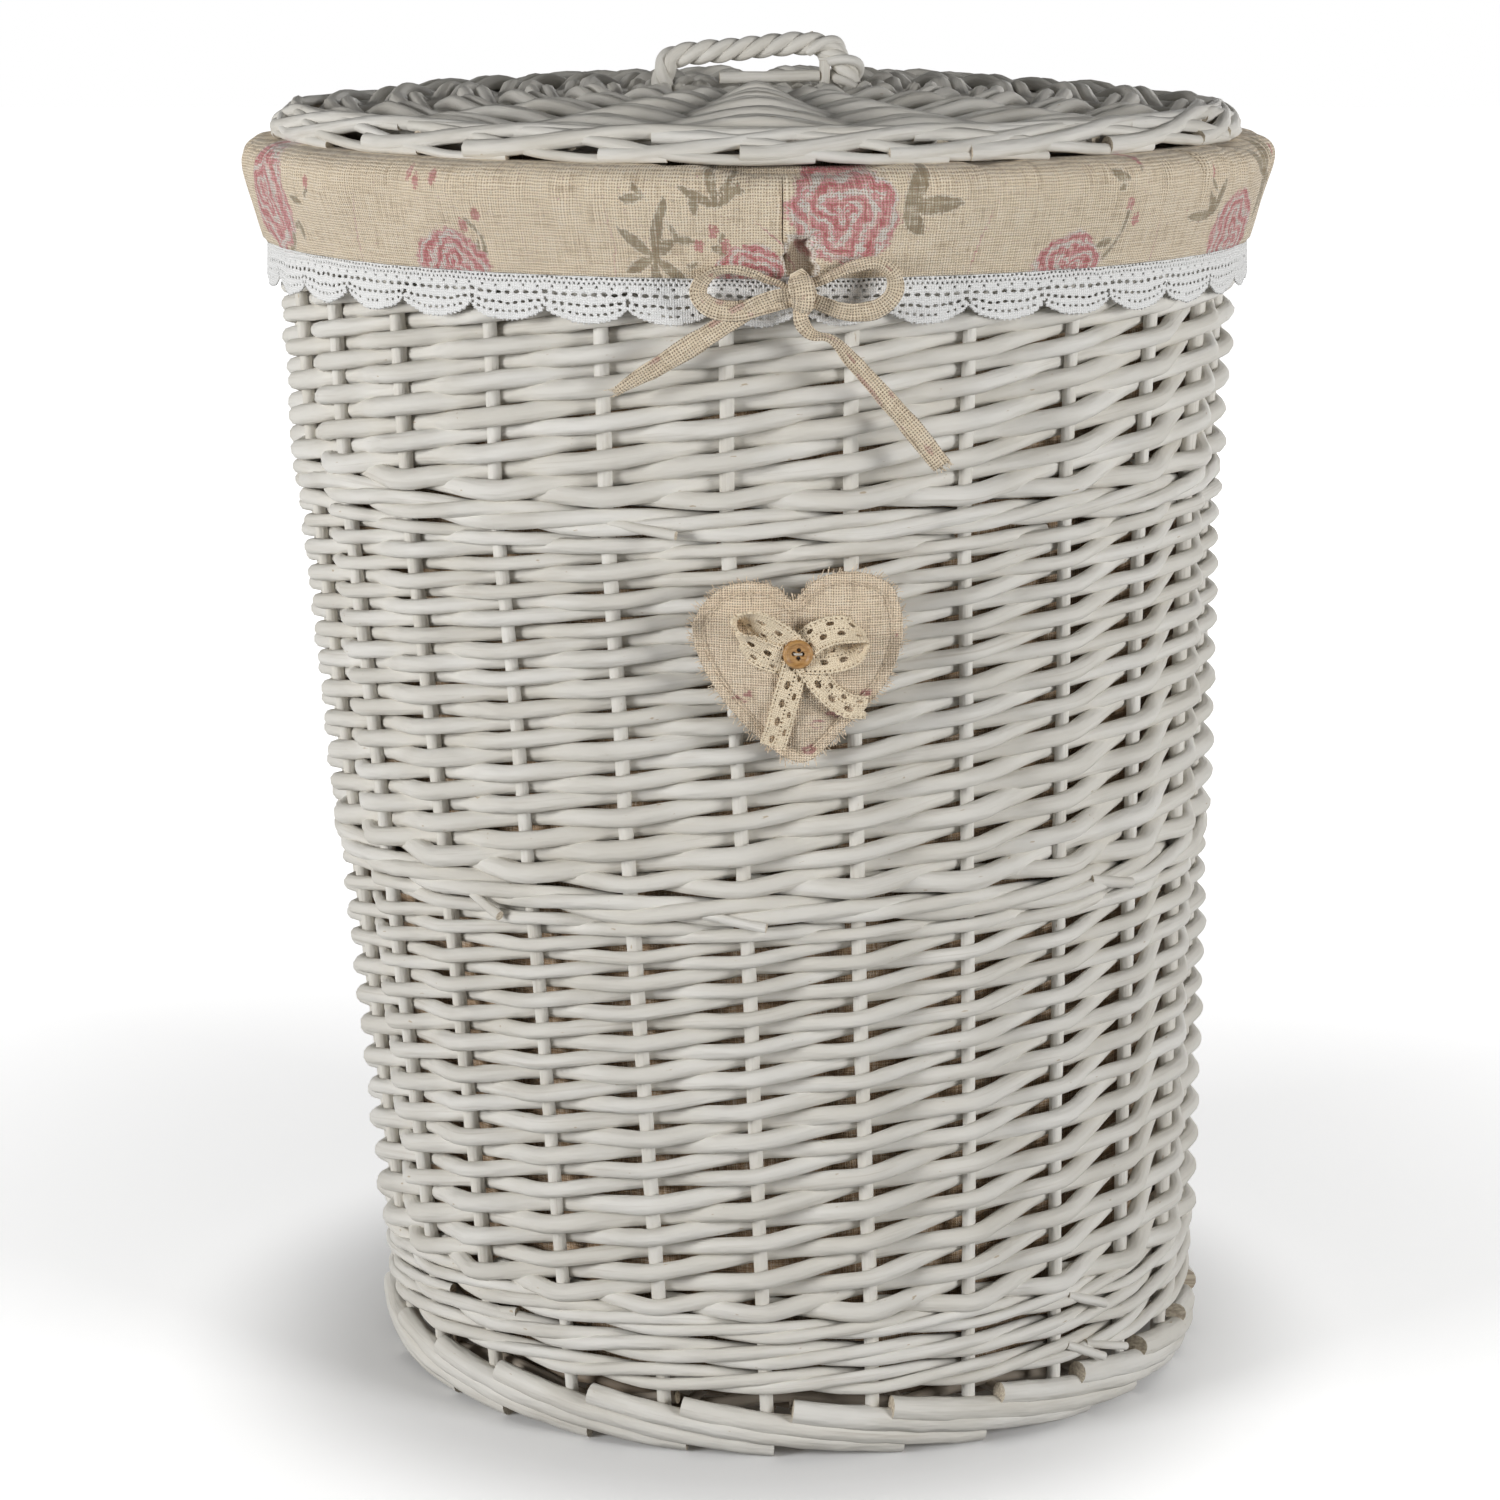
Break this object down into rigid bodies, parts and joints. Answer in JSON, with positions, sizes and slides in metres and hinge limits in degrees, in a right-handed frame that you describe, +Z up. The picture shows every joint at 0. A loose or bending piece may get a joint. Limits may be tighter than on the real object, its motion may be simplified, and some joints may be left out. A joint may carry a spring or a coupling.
{
  "type": "laundry basket",
  "caption": "Tall oval woven willow laundry basket with a removable printed fabric liner, lace edged cuff, heart ornament and lift-off woven lid with a twisted handle.",
  "frame": {"origin": "on the floor, below the middle of the rim, lid and liner cuff", "axes": "+Z up; -Y is the front with the bow and the heart; +X is the right-hand side seen from the front"},
  "size_m": [0.472, 0.4232, 0.631],
  "materials": {
    "painted_willow": "satin",
    "linen": "matte",
    "lace": "matte",
    "tape": "matte",
    "heart_linen": "matte",
    "cream_lace": "matte",
    "button_wood": "satin"
  },
  "bodies": {
    "basket": {"base_stick_1": "painted_willow", "base_stick_2": "painted_willow", "base_stick_3": "painted_willow", "base_stick_4": "painted_willow", "base_weave": "painted_willow", "bottom_wale": "painted_willow", "foot_border": "painted_willow", "heart_bow_loop_left": "cream_lace", "heart_bow_loop_right": "cream_lace", "heart_bow_tail_left": "cream_lace", "heart_bow_tail_right": "cream_lace", "heart_button": "button_wood", "heart_pad": "heart_linen", "lower_mid_wale": "painted_willow", "lower_weave": "painted_willow", "middle_weave": "painted_willow", "stake_01": "painted_willow", "stake_02": "painted_willow", "stake_03": "painted_willow", "stake_04": "painted_willow", "stake_05": "painted_willow", "stake_06": "painted_willow", "stake_07": "painted_willow", "stake_08": "painted_willow", "stake_09": "painted_willow", "stake_10": "painted_willow", "stake_11": "painted_willow", "stake_12": "painted_willow", "stake_13": "painted_willow", "stake_14": "painted_willow", "stake_15": "painted_willow", "stake_16": "painted_willow", "stake_17": "painted_willow", "stake_18": "painted_willow", "stake_19": "painted_willow", "stake_20": "painted_willow", "stake_21": "painted_willow", "stake_22": "painted_willow", "stake_23": "painted_willow", "stake_24": "painted_willow", "stake_25": "painted_willow", "top_border": "painted_willow", "upper_mid_wale": "painted_willow", "upper_weave": "painted_willow"},
    "liner": {"lace_trim": "lace", "liner_bag": "linen", "liner_cuff": "linen", "tie_knot": "tape", "tie_loop_left": "tape", "tie_loop_right": "tape", "tie_tail_left": "tape", "tie_tail_right": "tape"},
    "lid": {"lid_border": "painted_willow", "lid_handle": "painted_willow", "lid_stick_1": "painted_willow", "lid_stick_2": "painted_willow", "lid_stick_3": "painted_willow", "lid_stick_4": "painted_willow", "lid_weave": "painted_willow"}
  },
  "joints": [
    {"name": "liner_lift", "type": "slide", "parent": "basket", "child": "liner", "axis": [0, 0, 1], "range_m": [0, 0.6]},
    {"name": "lid_lift", "type": "slide", "parent": "liner", "child": "lid", "axis": [0, 0, 1], "range_m": [0, 0.3]}
  ]
}
